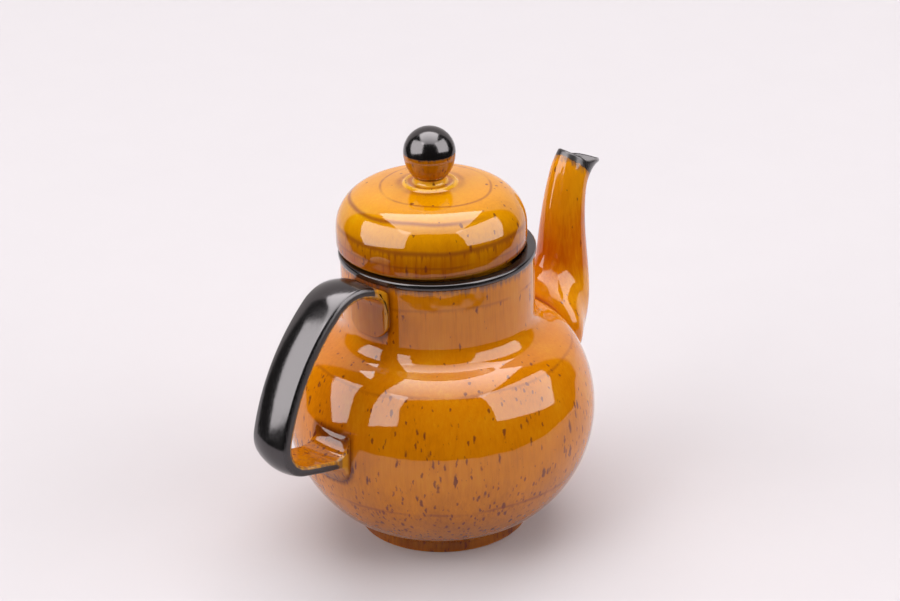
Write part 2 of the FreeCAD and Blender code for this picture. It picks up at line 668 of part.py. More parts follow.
def middle_line(t, axis):
    """Place of a station on the middle line, t from 0 at the root to 1 at the mouth."""
    weights = ((1 - t) ** 3, 3 * t * (1 - t) ** 2, 3 * t ** 2 * (1 - t), t ** 3)
    return blend(weights, (f"root_{axis}", f"bend_{axis}", f"climb_{axis}", f"mouth_{axis}"))


def heading(t, axis):
    """Direction of the middle line at a station."""
    weights = ((1 - t) ** 2, 2 * t * (1 - t), t ** 2)
    pairs = (("bend", "root"), ("climb", "bend"), ("mouth", "climb"))
    return " + ".join(
        f"{weight:.5f} * (Sizes.{ahead}_{axis} - Sizes.{behind}_{axis})"
        for weight, (ahead, behind) in zip(weights, pairs)
    )


def station(name, t, radius, nose):
    """One section across the spout: round at the back, drawn out to a nose in front."""
    section = new_sketch(spout, name, "XY_Plane")
    tilt = f"90 deg - atan2({heading(t, 'z')}; {heading(t, 'x')})"
    place = [float(section.evalExpression(middle_line(t, axis))) for axis in "xz"]
    angle = float(section.evalExpression(tilt).Value)
    turn = FreeCAD.Rotation(FreeCAD.Vector(0, 1, 0), angle)
    section.AttachmentOffset = FreeCAD.Placement(FreeCAD.Vector(place[0], 0, place[1]), turn)
    section.setExpression("AttachmentOffset.Base.x", middle_line(t, "x"))
    section.setExpression("AttachmentOffset.Base.z", middle_line(t, "z"))
    section.setExpression("AttachmentOffset.Rotation.Angle", tilt)
    back = float(section.evalExpression(radius))
    front = float(section.evalExpression(nose))
    side = (back ** 2 + front ** 2) / (2 * back)
    reach = math.degrees(2 * math.atan2(back, front))
    draw(
        section,
        [
            arc((0, 0), back, 90, 270),
            arc((0, side - back), side, -90, reach - 90),
            arc((0, back - side), side, 90 - reach, 90),
        ],
        smooth=(0, 2),
    )
    section.addConstraint(Sketcher.Constraint("Coincident", 0, 3, -1, 1))
    section.addConstraint(Sketcher.Constraint("PointOnObject", 0, 1, -2))
    section.addConstraint(Sketcher.Constraint("PointOnObject", 0, 2, -2))
    section.addConstraint(Sketcher.Constraint("PointOnObject", 1, 2, -1))
    bind(section, "Radius", (0,), radius)
    bind(section, "DistanceX", (-1, 1, 1, 2), nose)
    return section


def tube(kind, name, sections):
    """Joins sections to a tube, to add it or to cut it out."""
    loft = spout.newObject(f"PartDesign::{kind}", name)
    loft.Profile = sections[0]
    loft.Sections = sections[1:]
    doc.recompute()
    return loft


outer_sections = []
channel_sections = []
for number, t in enumerate(STATIONS):
    taper = blend(
        ((1 - t) ** 2, 2 * t * (1 - t), t ** 2), ("spout_root_radius", "spout_mid_radius", "spout_lip_radius")
    )
    wall = blend((1 - t, t), ("spout_root_wall", "spout_lip_wall"))
    beak = f"{BEAKED.get(t, 0.0):.2f} * Sizes.beak"
    nose_wall = f"(1 + {BEAKED.get(t, 0.0) / 2:.2f}) * ({wall})"
    outer_sections.append(station(f"outside_{number}", t, taper, f"{taper} + {beak}"))
    inner = f"{taper} - ({wall})"
    channel_sections.append(station(f"channel_{number}", t, inner, f"{taper} + {beak} - {nose_wall}"))
tube("AdditiveLoft", "spout_outside", outer_sections)
tube("SubtractiveLoft", "spout_channel", channel_sections)

# Lip: cut hollow in side view, so that the rim falls from its back and runs out level to the tip
lip = size("spout_lip_radius")
tip = lip + size("beak")
dip = size("lip_dip")
margin = size("bury")
scoop = ((lip + tip) ** 2 / 4 + dip ** 2) / (2 * dip)
scoop_rule = "(((2 * Sizes.spout_lip_radius + Sizes.beak) / 2)^2 + Sizes.lip_dip^2) / (2 * Sizes.lip_dip)"
scoop_middle = (size("beak") / 2, scoop - dip)
scoop_half = (lip + tip) / 2 + margin
scoop_turn = math.degrees(math.asin(scoop_half / scoop))
scoop_start = polar(scoop_middle, scoop, -90 - scoop_turn)
scoop_end = polar(scoop_middle, scoop, -90 + scoop_turn)
above = 3 * margin
sketch = new_sketch(spout, "lip_outline", "XZ_Plane")
lean = FreeCAD.Rotation(FreeCAD.Vector(0, 0, -1), 90 - size("mouth_angle"))
sketch.AttachmentOffset = FreeCAD.Placement(FreeCAD.Vector(size("mouth_x"), size("mouth_z"), 0), lean)
sketch.setExpression("AttachmentOffset.Base.x", "Sizes.mouth_x")
sketch.setExpression("AttachmentOffset.Base.y", "Sizes.mouth_z")
sketch.setExpression("AttachmentOffset.Rotation.Angle", "90 - Sizes.mouth_angle")
draw(
    sketch,
    [
        arc(scoop_middle, scoop, -90 - scoop_turn, -90 + scoop_turn),
        line(scoop_end, (scoop_end[0], above)),
        line((scoop_end[0], above), (scoop_start[0], above)),
        line((scoop_start[0], above), scoop_start),
    ],
    smooth=(),
)
flat(sketch, 2)
upright(sketch, 1, 3)
bind(sketch, "Radius", (0,), scoop_rule)
bind(sketch, "DistanceX", (-1, 1, 0, 3), "Sizes.beak / 2")
bind(sketch, "DistanceY", (-1, 1, 0, 3), f"{scoop_rule} - Sizes.lip_dip")
bind(sketch, "DistanceX", (-1, 1, 1, 1), "Sizes.spout_lip_radius + Sizes.beak + Sizes.bury")
bind(sketch, "DistanceX", (3, 1, -1, 1), "Sizes.spout_lip_radius + Sizes.bury")
bind(sketch, "DistanceY", (-1, 1, 2, 1), "3 * Sizes.bury")
scooped = spout.newObject("PartDesign::Pocket", "lip_scoop")
scooped.Profile = sketch
scooped.SideType = "Symmetric"
scooped.setExpression("Length", "4 * Sizes.spout_lip_radius")
doc.recompute()


# Luted pieces are trimmed to the face that they sit on
def trimmed(label, base, tool):
    cut = doc.addObject("Part::Cut", label)
    cut.Base = base
    cut.Tool = tool
    doc.recompute()
    return cut


trimmed("handle", handle, pot_outside)
trimmed("spout", spout, pot_outside)
lid_knob = trimmed("lid_knob", knob, lid_outside)
for piece in (lid, lid_knob):
    piece.setExpression("Placement.Base.x", "Sizes.lid_shift_x")
    piece.setExpression("Placement.Base.y", "Sizes.lid_shift_y")
doc.recompute()

# Each piece is checked and written under its own name
for item in doc.Objects:
    if "Invalid" in item.State or "Error" in item.State:
        raise RuntimeError(f"{item.Name} did not compute: {item.getStatusString()}")
os.makedirs("parts", exist_ok=True)
for label in ("pot_body", "spout", "handle", "lid", "lid_knob"):
    piece = doc.getObjectsByLabel(label)[0]
    if piece.Shape.isNull() or not piece.Shape.isValid() or len(piece.Shape.Solids) != 1:
        raise RuntimeError(f"{label} is not one sound solid")
    piece.Shape.exportStep(f"parts/{label}.step")
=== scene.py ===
import math

import bpy
import numpy as np
from mathutils import Matrix, Vector
from mathutils.bvhtree import BVHTree


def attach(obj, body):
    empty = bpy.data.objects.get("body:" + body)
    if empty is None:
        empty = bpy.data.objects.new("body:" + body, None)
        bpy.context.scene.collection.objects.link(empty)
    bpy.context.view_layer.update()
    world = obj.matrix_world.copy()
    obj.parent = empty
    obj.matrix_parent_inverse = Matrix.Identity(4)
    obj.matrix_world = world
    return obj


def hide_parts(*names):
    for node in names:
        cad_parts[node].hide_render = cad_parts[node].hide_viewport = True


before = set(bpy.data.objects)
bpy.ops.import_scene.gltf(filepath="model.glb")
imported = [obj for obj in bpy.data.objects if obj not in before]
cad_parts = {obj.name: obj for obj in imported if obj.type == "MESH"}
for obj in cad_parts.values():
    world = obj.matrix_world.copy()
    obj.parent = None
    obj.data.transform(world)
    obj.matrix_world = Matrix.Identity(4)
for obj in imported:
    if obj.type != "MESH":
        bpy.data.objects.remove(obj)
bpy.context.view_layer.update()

# POT BODY. One cast stoneware shell with a round belly, a straight neck, a rim bead and a foot ring.
# It was dipped in honey glaze, its rim was brushed with black glaze, and both were fired in one go.
# All sizes in this file are millimetres until a mesh is made.
belly, belly_curve = (13.0, 60.7), 62.0
shoulder, shoulder_curve = (46.395, 78.832), 24.0
hollow, hollow_curve = (57.1, 111.84), 10.7
belly_to_shoulder, shoulder_to_hollow = 28.5, 72.03
neck_radius, rim_height, wall = 46.4, 144.64, 4.5
rim_proud, rim_band = 0.8, 3.4
foot_radius, foot_width, foot_recess, floor_height = 41.8, 6.0, 3.0, 8.5


def arc(centre, radius, first, last):
    """Points along a circle between two angles in degrees, about half a millimetre apart."""
    apart = 0.5
    steps = max(6, int(abs(math.radians(last - first)) * radius / apart))
    turn = np.radians(np.linspace(first, last, steps + 1))
    return [(centre[0] + radius * math.cos(a), centre[1] + radius * math.sin(a)) for a in turn]


def eased(points, spread):
    """An outline in even steps of a fifth of a millimetre, its corners rounded as glaze rounds them."""
    apart = 0.2
    points = np.array(points, float)
    along = np.concatenate([[0.0], np.cumsum(np.hypot(*np.diff(points, axis=0).T))])
    even = np.linspace(0.0, along[-1], int(along[-1] / apart) + 1)
    fine = np.stack([np.interp(even, along, points[:, k]) for k in (0, 1)], axis=1)
    reach = int(spread * 3 / apart)
    weight = np.exp(-0.5 * (np.arange(-reach, reach + 1) * apart / spread) ** 2)
    before = 2 * fine[0] - fine[reach:0:-1]
    after = 2 * fine[-1] - fine[-2:-reach - 2:-1]
    padded = np.concatenate([before, fine, after])
    return np.stack([np.convolve(padded[:, k], weight / weight.sum(), "valid") for k in (0, 1)], axis=1)


def thinned(fine, bend=4.0, reach=2.5):
    """Keeps the points of a fine outline that lie no more than so many degrees and millimetres apart."""
    step = np.diff(fine, axis=0)
    heading = np.unwrap(np.arctan2(step[:, 1], step[:, 0]))
    kept = [0]
    for k in range(1, len(fine) - 1):
        turned = abs(heading[k] - heading[kept[-1]])
        if turned > math.radians(bend) or np.hypot(*(fine[k] - fine[kept[-1]])) > reach:
            kept.append(k)
    return fine[kept + [len(fine) - 1]]


def piece(name, points, faces):
    """A smooth-shaded mesh object from points in millimetres."""
    mesh = bpy.data.meshes.new(name)
    mesh.from_pydata([tuple(p) for p in np.array(points) * 0.001], [], faces)
    mesh.shade_smooth()
    made = bpy.data.objects.new(name, mesh)
    bpy.context.collection.objects.link(made)
    return made


def turned(name, outline, around=192, axis=(0.0, 0.0)):
    """A piece turned on a wheel: the outline runs outwards underneath, up the outside and back in."""
    points, rings, faces = [], [], []
    for radius, height in outline:
        first = len(points)
        count = around if radius > 0.001 else 1
        rings.append([first + k % count for k in range(around + 1)])
        for k in range(count):
            a = 2 * math.pi * k / around
            points.append((axis[0] + radius * math.cos(a), axis[1] + radius * math.sin(a), height))
    for low, high in zip(rings, rings[1:]):
        for k in range(around):
            corners = [low[k], low[k + 1], high[k + 1], high[k]]
            faces.append(list(dict.fromkeys(corners)))
    return piece(name, points, faces)


def mark(made, name, values):
    """Stores one number per vertex for the glaze to read."""
    layer = made.data.attributes.new(name, "FLOAT", "POINT")
    layer.data.foreach_set("value", np.asarray(values, np.float32))


def spots(made):
    """A piece's vertices in millimetres."""
    flat = np.empty(len(made.data.vertices) * 3, np.float32)
    made.data.vertices.foreach_get("co", flat)
    return flat.reshape(-1, 3).astype(float) * 1000.0


def ramp(values, low, high):
    """0 below low, 1 above high and smooth between; runs the other way if low is the larger."""
    share = np.clip((np.asarray(values, float) - low) / (high - low), 0.0, 1.0)
    return share * share * (3 - 2 * share)


foot_top = belly[1] - math.sqrt(belly_curve ** 2 - (foot_radius - belly[0]) ** 2)
belly_start = math.degrees(math.atan2(foot_top - belly[1], foot_radius - belly[0]))
pot_outside = (
    [(foot_radius - 0.6, 0.0), (foot_radius, 0.6), (foot_radius, foot_top - 0.3)]
    + arc(belly, belly_curve, belly_start, belly_to_shoulder)
    + arc(shoulder, shoulder_curve, belly_to_shoulder, shoulder_to_hollow)
    + arc(hollow, hollow_curve, shoulder_to_hollow + 180, 180)
    + [(neck_radius, rim_height - rim_band)]
)
rim_face = [
    (neck_radius + rim_proud, rim_height - rim_band + 0.5),
    (neck_radius + rim_proud, rim_height - 0.4),
    (neck_radius + rim_proud - 0.4, rim_height),
    (neck_radius - wall + 0.5, rim_height),
]
inside_start = math.degrees(math.asin((floor_height - belly[1]) / (belly_curve - wall)))
pot_inside = (
    [(neck_radius - wall, rim_height - 0.5)]
    + arc(hollow, hollow_curve + wall, 180, shoulder_to_hollow + 180)
    + arc(shoulder, shoulder_curve - wall, shoulder_to_hollow, belly_to_shoulder)
    + arc(belly, belly_curve - wall, belly_to_shoulder, inside_start)
    + [(0.0, floor_height)]
)
foot_inner = foot_radius - foot_width
underside = [
    (0.0, foot_recess),
    (foot_inner - 0.3, foot_recess),
    (foot_inner, 0.6),
    (foot_inner + 0.6, 0.0),
]
pot_outline = eased(underside + pot_outside + rim_face + pot_inside, 0.45)
pot_outline[:, 0] = np.maximum(pot_outline[:, 0], 0.0)
pot = turned("pot_body_glazed", thinned(pot_outline))

# Strainer: seven holes pierced with a tube through the raw wall, where the spout goes on.
strainer_middle, strainer_angle, hole_radius, hole_ring = (71.59, 0.0, 71.98), 25.0, 2.5, 8.5
pin_sides, pin_reach = 20, 6.0
through = Vector((math.cos(math.radians(strainer_angle)), 0.0, math.sin(math.radians(strainer_angle))))
above = Vector((-through.z, 0.0, through.x))
pins = []
for k in range(7):
    a = math.radians(60 * k)
    ring = hole_ring if k < 6 else 0.0
    middle = Vector(strainer_middle) + above * (ring * math.cos(a)) + Vector((0, ring * math.sin(a), 0))
    ends = []
    for reach in (-pin_reach, pin_reach):
        for j in range(pin_sides):
            b = 2 * math.pi * (j + 0.5) / pin_sides
            side = above * (hole_radius * math.cos(b)) + Vector((0, hole_radius * math.sin(b), 0))
            ends.append(middle + through * reach + side)
    sides = []
    for j in range(pin_sides):
        n = (j + 1) % pin_sides
        sides.append((j, n, pin_sides + n, pin_sides + j))
    caps = [tuple(range(pin_sides - 1, -1, -1)), tuple(range(pin_sides, 2 * pin_sides))]
    pin = piece(f"pin_{k}", ends, sides + caps)
    cut = pot.modifiers.new(pin.name, "BOOLEAN")
    cut.operation, cut.object, cut.solver = "DIFFERENCE", pin, "EXACT"
    pins.append(pin)
pierced = bpy.data.meshes.new_from_object(pot.evaluated_get(bpy.context.evaluated_depsgraph_get()))
pot.modifiers.clear()
pot.data = pierced
pot.data.set_sharp_from_angle(angle=math.radians(50))
for pin in pins:
    bpy.data.objects.remove(pin)


def linear(hex_colour):
    """An sRGB hex colour as the linear RGBA that shaders take."""
    parts = [int(hex_colour[k:k + 2], 16) / 255 for k in (1, 3, 5)]
    return tuple(c / 12.92 if c <= 0.04045 else ((c + 0.055) / 1.055) ** 2.4 for c in parts) + (1.0,)


def add(tree, kind, inputs, **settings):
    """Adds one node: settings are its own properties, and inputs are values or links by name or number."""
    made = tree.nodes.new("ShaderNode" + kind)
    for name, value in settings.items():
        setattr(made, name, value)
    for name, value in inputs.items():
        if isinstance(value, bpy.types.NodeSocket):
            tree.links.new(value, made.inputs[name])
        else:
            made.inputs[name].default_value = value
    return made.outputs


def honey_glaze(name, thin, honey, thick_and_shaded, specks, lines=(), waver=1.5):
    """Honey glaze is an iron-bearing transparent glaze over buff stoneware: pale where it is thin on edges,
    brown where it pools and where painted shade darkens it, with fine runs down the wall and dark iron
    specks. Where black glaze was laid over it, a near-black glass with a gunmetal sheen covers it, with a
    soft, running border."""
    material = bpy.data.materials.new(name)
    material.use_nodes = True
    tree = material.node_tree
    tree.nodes.clear()
    place = add(tree, "TexCoord", {})["Object"]
    axes = add(tree, "SeparateXYZ", {0: place})

    # Runs 1.6 mm wide, hairs 0.7 mm wide among them, both 13 times as long, and clouds of 22 mm.
    run_width, hair_width, cloud_size, flattened = 1.6, 0.7, 22, 0.075
    drawn_out = add(tree, "Mapping", {"Vector": place, "Scale": (1.0, 1.0, flattened)})[0]
    runs = add(tree, "TexNoise", {"Vector": drawn_out, "Scale": 1000 / run_width, "Detail": 3.0})[0]
    hairs = add(tree, "TexNoise", {"Vector": drawn_out, "Scale": 1000 / hair_width, "Detail": 2.0})[0]
    clouds = add(tree, "TexNoise", {"Vector": place, "Scale": 1000 / cloud_size, "Detail": 3.0})[0]
    ridge = add(tree, "Attribute", {}, attribute_name="ridge")["Fac"]
    pool_and_shade = add(tree, "Attribute", {}, attribute_name="pool_and_shade")["Fac"]
    # How deep the glaze lies: deeper where it gathers and where painted shade is added as depth, less on a
    # "ridge", and uneven between.
    depth = pool_and_shade
    for layer, weight in ((runs, 0.42), (hairs, 0.28), (clouds, 0.7), (ridge, -0.6)):
        depth = add(tree, "Math", {0: layer, 1: weight, 2: depth}, operation="MULTIPLY_ADD")[0]
    share = add(tree, "MapRange", {0: depth, 1: 0.2, 2: 0.75}, interpolation_type="SMOOTHSTEP")[0]
    colour = add(tree, "Mix", {0: share, 6: linear(thin), 7: linear(honey)}, data_type="RGBA")[2]
    share = add(tree, "MapRange", {0: depth, 1: 0.72, 2: 1.6})[0]
    colour = add(tree, "Mix", {0: share, 6: colour, 7: linear(thick_and_shaded)}, data_type="RGBA")[2]

    # Iron specks: cells of 3.2 mm and 1.9 mm drawn out downwards. Each cell has its own size and may be
    # empty. Real specks are finer, and are drawn coarse enough to show in the picture.
    speck_brown, speck_edge = linear("#5E241C"), 0.18
    low, high, low_height, high_height = specks
    from_height, to_height = low_height * 0.001, high_height * 0.001
    amount = add(tree, "MapRange", {0: axes[2], 1: from_height, 2: to_height, 3: low, 4: high})[0]
    amount = add(tree, "Math", {0: clouds, 1: 1.2, 2: amount}, operation="MULTIPLY_ADD")[0]
    amount = add(tree, "Math", {0: amount, 1: -0.6}, operation="ADD")[0]
    shake = add(tree, "TexNoise", {"Vector": place, "Scale": 1000 / 2.2, "Detail": 2.0})["Color"]
    shake = add(tree, "VectorMath", {0: shake, 1: (0.0016, 0.0016, 0.0030)}, operation="MULTIPLY")[0]
    shaken = add(tree, "VectorMath", {0: place, 1: shake}, operation="ADD")[0]
    for cell, stretch, size, strength in ((3.2, 0.25, 0.34, 0.8), (1.9, 0.3, 0.36, 0.75)):
        stood = add(tree, "Mapping", {"Vector": shaken, "Scale": (1.0, 1.0, stretch)})[0]
        cells = add(tree, "TexVoronoi", {"Vector": stood, "Scale": 1000 / cell})
        chance = add(tree, "SeparateColor", {0: cells["Color"]})
        reach = add(tree, "Math", {0: chance[0], 1: size, 2: 0.08}, operation="MULTIPLY_ADD")[0]
        there = add(tree, "Math", {0: chance[1], 1: amount}, operation="LESS_THAN")[0]
        reach = add(tree, "Math", {0: reach, 1: there}, operation="MULTIPLY")[0]
        fade = add(tree, "Math", {0: reach, 1: cells["Distance"]}, operation="SUBTRACT")[0]
        softened = {0: fade, 1: 0.0, 2: speck_edge, 4: strength}
        fade = add(tree, "MapRange", softened, interpolation_type="SMOOTHSTEP")[0]
        colour = add(tree, "Mix", {0: fade, 6: colour, 7: speck_brown}, data_type="RGBA")[2]

    # Turning lines left by a tool in the raw clay, where the glaze breaks to purplish brown. Each wanders
    # by 3 mm, and one that runs round a wall drips below.
    line_brown, wander = linear("#7E3614"), 0.003
    wobble = add(tree, "TexNoise", {"Vector": place, "Scale": 1000 / 30, "Detail": 1.0})[0]
    trail = add(tree, "MapRange", {0: runs, 1: 0.48, 2: 0.68, 3: -1.0, 4: -0.14})[0]
    for middle, radius, height, width, strength, bearing in lines:
        if radius:
            centre = (middle[0] * 0.001, middle[1] * 0.001, 0.0)
            off = add(tree, "VectorMath", {0: place, 1: centre}, operation="SUBTRACT")[0]
            off = add(tree, "VectorMath", {0: off, 1: (1.0, 1.0, 0.0)}, operation="MULTIPLY")[0]
            off = add(tree, "VectorMath", {0: off}, operation="LENGTH")["Value"]
            off = add(tree, "Math", {0: off, 1: radius * 0.001}, operation="SUBTRACT")[0]
            mirror = -1.0
        else:
            off = add(tree, "Math", {0: axes[2], 1: height * 0.001}, operation="SUBTRACT")[0]
            mirror = trail
        off = add(tree, "Math", {0: wobble, 1: wander, 2: off}, operation="MULTIPLY_ADD")[0]
        off = add(tree, "Math", {0: off, 1: -wander / 2}, operation="ADD")[0]
        below = add(tree, "Math", {0: off, 1: mirror}, operation="MULTIPLY")[0]
        off = add(tree, "Math", {0: off, 1: below}, operation="MAXIMUM")[0]
        softened = {0: off, 1: width * 0.001, 2: 0.0, 4: strength}
        fade = add(tree, "MapRange", softened, interpolation_type="SMOOTHSTEP")[0]
        seen = add(tree, "MapRange", {0: clouds, 1: 0.34, 2: 0.52})[0]
        if bearing is not None:
            turn = (math.cos(math.radians(bearing)), math.sin(math.radians(bearing)), 0.0)
            seen = add(tree, "VectorMath", {0: place, 1: turn}, operation="DOT_PRODUCT")["Value"]
            seen = add(tree, "MapRange", {0: seen, 1: -0.006, 2: 0.018})[0]
        fade = add(tree, "Math", {0: fade, 1: seen}, operation="MULTIPLY")[0]
        colour = add(tree, "Mix", {0: fade, 6: colour, 7: line_brown}, data_type="RGBA")[2]

    # Black glaze: the "black" number is how far, in millimetres, a point lies inside its border. Grey-brown
    # smoke bleeds out of it in drips.
    border, smoke_brown, gunmetal = 0.35, linear("#5E4A44"), linear("#524F50")
    inside = add(tree, "Attribute", {}, attribute_name="black")["Fac"]
    sway = add(tree, "Math", {0: runs, 1: waver, 2: -waver / 2}, operation="MULTIPLY_ADD")[0]
    edge = add(tree, "Math", {0: inside, 1: sway}, operation="ADD")[0]
    black = add(tree, "MapRange", {0: edge, 1: -border, 2: border}, interpolation_type="SMOOTHSTEP")[0]
    drip = add(tree, "Math", {0: runs, 1: 6 * waver, 2: -3 * waver}, operation="MULTIPLY_ADD")[0]
    drip = add(tree, "Math", {0: inside, 1: drip}, operation="ADD")[0]
    bleeding = {0: drip, 1: -2.4 * waver, 2: 0.4 * waver, 4: 0.75}
    smoke = add(tree, "MapRange", bleeding, interpolation_type="SMOOTHSTEP")[0]
    colour = add(tree, "Mix", {0: smoke, 6: colour, 7: smoke_brown}, data_type="RGBA")[2]
    colour = add(tree, "Mix", {0: black, 6: colour, 7: gunmetal}, data_type="RGBA")[2]
    sheen = add(tree, "Math", {0: black, 1: 0.93}, operation="MULTIPLY")[0]
    matt = add(tree, "MapRange", {0: hairs, 1: 0.3, 2: 0.7, 3: 0.11, 4: 0.21})[0]
    matt = add(tree, "Math", {0: ridge, 1: 0.2, 2: matt}, operation="MULTIPLY_ADD")[0]
    gloss = add(tree, "MapRange", {0: clouds, 1: 0.3, 2: 0.7, 3: 0.03, 4: 0.05})[0]
    gloss = add(tree, "Mix", {0: black, 2: gloss, 3: matt}, data_type="FLOAT")[0]

    # The glassy skin is never quite flat: slow waves of 9 mm and a faint grain from the runs.
    wave_size = 9
    waves = add(tree, "TexNoise", {"Vector": place, "Scale": 1000 / wave_size, "Detail": 1.0})[0]
    relief = add(tree, "Math", {0: runs, 1: 0.12, 2: waves}, operation="MULTIPLY_ADD")[0]
    skin = add(tree, "Bump", {"Height": relief, "Strength": 0.35, "Distance": 0.00025})[0]
    shader = add(
        tree,
        "BsdfPrincipled",
        {
            "Base Color": colour,
            "Metallic": sheen,
            "Roughness": gloss,
            "IOR": 1.52,
            "Normal": skin,
        },
    )[0]
    add(tree, "OutputMaterial", {"Surface": shader})
    return material


# The rim is black down to its border, and the glaze is thin on the edge that the pot stands on.
at = spots(pot)
rim_border = rim_height - rim_band + 0.2
mark(pot, "black", at[:, 2] - rim_border)
mark(pot, "ridge", ramp(at[:, 2], 1.5, 0.0))
pot_glaze = honey_glaze(
    "honey_glaze_on_pot",
    thin="#DC9A18",
    honey="#CC7702",
    thick_and_shaded="#7A3A04",
    specks=(1.1, 0.15, 35.0, 95.0),
    lines=(
        ((0, 0), 0, 95.0, 0.9, 0.4, None),
        ((0, 0), 0, 37.0, 1.4, 0.6, None),
        ((0, 0), 0, 131.0, 1.2, 0.3, None),
    ),
)
pot.data.materials.append(pot_glaze)
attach(pot, "pot")
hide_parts("pot_body")

# SPOUT. A curved tube formed apart in raw clay, drawn out to a beak at the lip and trimmed to the belly.
# It was luted over the strainer with slip, which left a bulb at the root, and the tip was dipped in black
# glaze over the honey glaze.
spout_line = np.array([(57.7, 65.5), (106.89, 79.33), (77.25, 114.2), (98.4, 161.7)])
spout_radii, beak_length, beak_start, beak_flare = (21.4, 13.0, 9.0), 15.6, 0.87, 2.44
spout_walls, joint_cove, lip_end = (4.0, 2.3), 2.5, 0.993
root_top, root_low, root_spread, root_feather = 23.0, 3.0, 11.0, 1.5
root_tuck, root_round = 3.2, 9.0
lip_tuck, lip_lift, lip_dip, lip_cant = 1.3, 0.9, 1.2, 0.07
outside_line = np.array(eased(pot_outside, 0.3))


def off_pot(points):
    """How far points stand out of the pot's outside wall; less than nothing inside it."""
    radius = np.hypot(points[:, 0], points[:, 1])
    flat = np.stack([radius, points[:, 2]], axis=1)
    step = outside_line[1:] - outside_line[:-1]
    out = np.stack([step[:, 1], -step[:, 0]], axis=1) / np.hypot(*step.T)[:, None]
    near = ((flat[:, None, :] - outside_line[None, :-1, :]) ** 2).sum(axis=2).argmin(axis=1)
    return ((flat - outside_line[near]) * out[near]).sum(axis=1)


def spout_ring(t, inset, around=96):
    """One round of the tube at each share t along its line, with the direction of its line there."""
    t = np.asarray(t, float)
    a, b = 1 - t, t
    middle = (
        spout_line[0] * (a ** 3)[:, None]
        + spout_line[1] * (3 * a * a * b)[:, None]
        + spout_line[2] * (3 * a * b * b)[:, None]
        + spout_line[3] * (b ** 3)[:, None]
    )
    toward = (
        (spout_line[1] - spout_line[0]) * (a * a)[:, None]
        + (spout_line[2] - spout_line[1]) * (2 * a * b)[:, None]
        + (spout_line[3] - spout_line[2]) * (b * b)[:, None]
    )
    toward /= np.hypot(*toward.T)[:, None]
    back = spout_radii[0] * a * a + 2 * spout_radii[1] * a * b + spout_radii[2] * b * b
    back = back - lip_tuck * np.clip((t - 0.93) / 0.07, 0, 1) ** 2
    nose = back + beak_length * np.clip((t - beak_start) / (1 - beak_start), 0, 1) ** beak_flare
    thickness = (spout_walls[0] * a + spout_walls[1] * b) * inset
    back, nose = back - thickness, nose - thickness * 1.15
    front = (back ** 2 + nose ** 2) / (2 * back)
    sweep = 2 * np.arctan2(back, nose)
    turn = np.arange(around) / around * 4.0
    points = np.empty((len(t), around, 3))
    for k, q in enumerate(turn):
        if q <= 1 or q >= 3:
            share = q if q <= 1 else 4 - q
            bend = sweep * (1 - share)
            ahead, side = front * np.sin(bend), back - front * (1 - np.cos(bend))
            side = side if q <= 1 else -side
        else:
            angle = math.pi / 2 * (q - 1)
            ahead, side = -back * math.sin(angle), back * math.cos(angle)
        # The mouth was cut by hand: high at the back, scooped at the sides and a little askew.
        along = (ahead + back) / (back + nose)
        cut = lip_lift * np.clip(1 - along / 0.3, 0, 1) - lip_dip * np.exp(-((along - 0.4) / 0.2) ** 2)
        cut = (cut + lip_cant * side) * np.clip((t - 0.9) / 0.1, 0, 1) ** 1.5
        points[:, k, 0] = middle[:, 0] + ahead * toward[:, 1] + cut * toward[:, 0]
        points[:, k, 1] = side
        points[:, k, 2] = middle[:, 1] - ahead * toward[:, 0] + cut * toward[:, 1]
    return points, np.stack([toward[:, 0], 0 * t, toward[:, 1]], axis=1)


def spout_start(inset, depth):
    """The share of the line at which each lengthwise run of the tube comes out of the pot's wall."""
    share = np.linspace(0.0, 0.7, 141)
    points, _ = spout_ring(share, inset)
    starts = []
    for k in range(points.shape[1]):
        clear = off_pot(points[:, k, :]) + depth
        first = int(np.argmax(clear > 0))
        low, high = clear[first - 1], clear[first]
        starts.append(share[first - 1] + (share[first] - share[first - 1]) * low / (low - high))
    return np.array(starts)


def spout_skin(inset, depth, rows):
    """The tube's outer or inner face from inside the pot's wall to the lip, one row at a time."""
    starts = spout_start(inset, depth)
    grid = np.empty((rows, len(starts), 3))
    for r in range(rows):
        share = (r / (rows - 1)) ** 1.25
        wanted = starts + (lip_end - starts) * share
        points, _ = spout_ring(wanted, inset)
        grid[r] = points[np.arange(len(starts)), np.arange(len(starts))]
    return grid


# Underneath, a small cove joins the root to the wall.
outer = spout_skin(inset=0.0, depth=1.5, rows=110)
inner = spout_skin(inset=1.0, depth=0.8, rows=70)
middles = outer.mean(axis=1, keepdims=True)
outward = outer - middles
outward /= np.linalg.norm(outward, axis=2, keepdims=True)
stood_out = off_pot(outer.reshape(-1, 3)).reshape(outer.shape[:2])
clear = np.maximum(stood_out, 0.0)
cove = joint_cove - np.sqrt(joint_cove ** 2 - np.maximum(joint_cove - clear, 0.0) ** 2)
cove += root_feather * np.maximum(-stood_out, 0.0)
# Over its back and flanks the root swells to a bulb, which tucks in where it meets the wall.
upper = ramp(-np.cos(np.arange(outer.shape[1]) / outer.shape[1] * 2 * math.pi), -0.8, 0.5)
tuck = root_tuck * (np.maximum(root_round - stood_out, 0.0) / root_round) ** 2
spread = upper * (root_spread * ramp(stood_out, root_top, root_low) - tuck)
flat = outer.reshape(-1, 3)
wall_out = np.stack([off_pot(flat + step) - off_pot(flat - step) for step in np.eye(3)], axis=1)
wall_out = (wall_out / np.linalg.norm(wall_out, axis=1)[:, None]).reshape(outer.shape)
along_wall = outward - wall_out * (outward * wall_out).sum(axis=2, keepdims=True)
outer += outward * (cove * (1 - upper))[:, :, None] + along_wall * spread[:, :, None]
